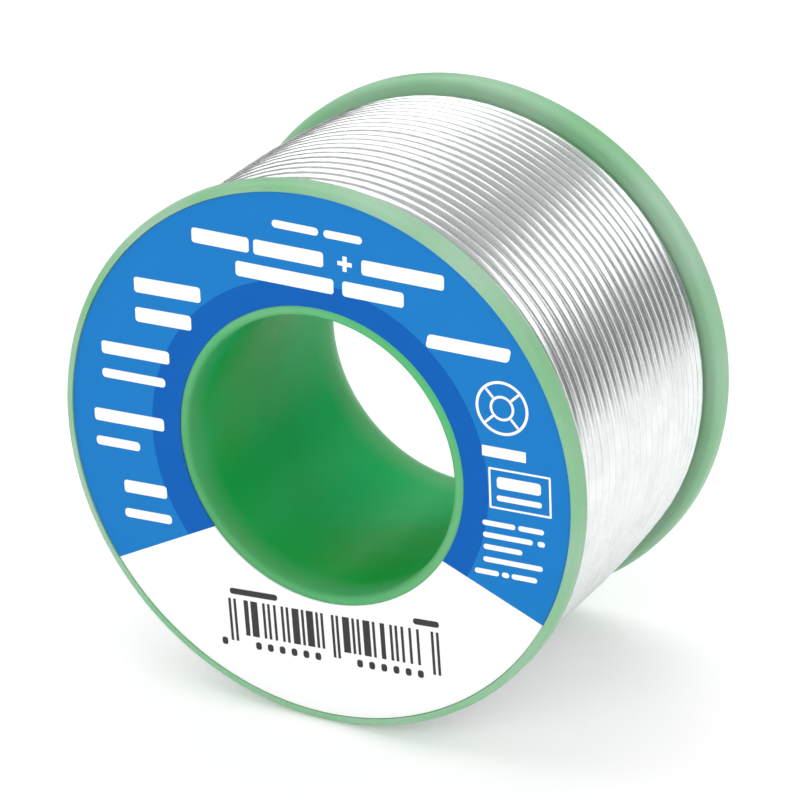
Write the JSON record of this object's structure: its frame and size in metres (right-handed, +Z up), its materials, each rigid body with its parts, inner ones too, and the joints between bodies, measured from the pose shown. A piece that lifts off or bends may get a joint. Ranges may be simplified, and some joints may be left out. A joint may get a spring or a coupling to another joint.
{
  "type": "solder wire spool",
  "caption": "Round plastic reel with a large open bore, its drum wound full of bright solder wire, and a printed disc label on one flange.",
  "frame": {"origin": "centre of the reel, on its axis and midway between the outer faces of its two flanges", "axes": "+Y along the reel's axis, from the labelled front face to the rear face; +Z up, with the label upright; +X to the right of the label as read"},
  "size_m": [0.044, 0.0274, 0.044],
  "materials": {
    "reel_plastic": "satin, slightly translucent green",
    "label_print": "satin print",
    "solder": "bright drawn tin alloy",
    "rosin": "amber resin"
  },
  "bodies": {
    "reel": {"front_flange_and_drum": "reel_plastic", "rear_flange_and_sleeve": "reel_plastic", "face_label": "label_print", "wire_winding": "solder", "wire_start_end": "solder", "wire_free_end": "solder", "flux_core_start": "rosin", "flux_core_free": "rosin"}
  },
  "joints": []
}
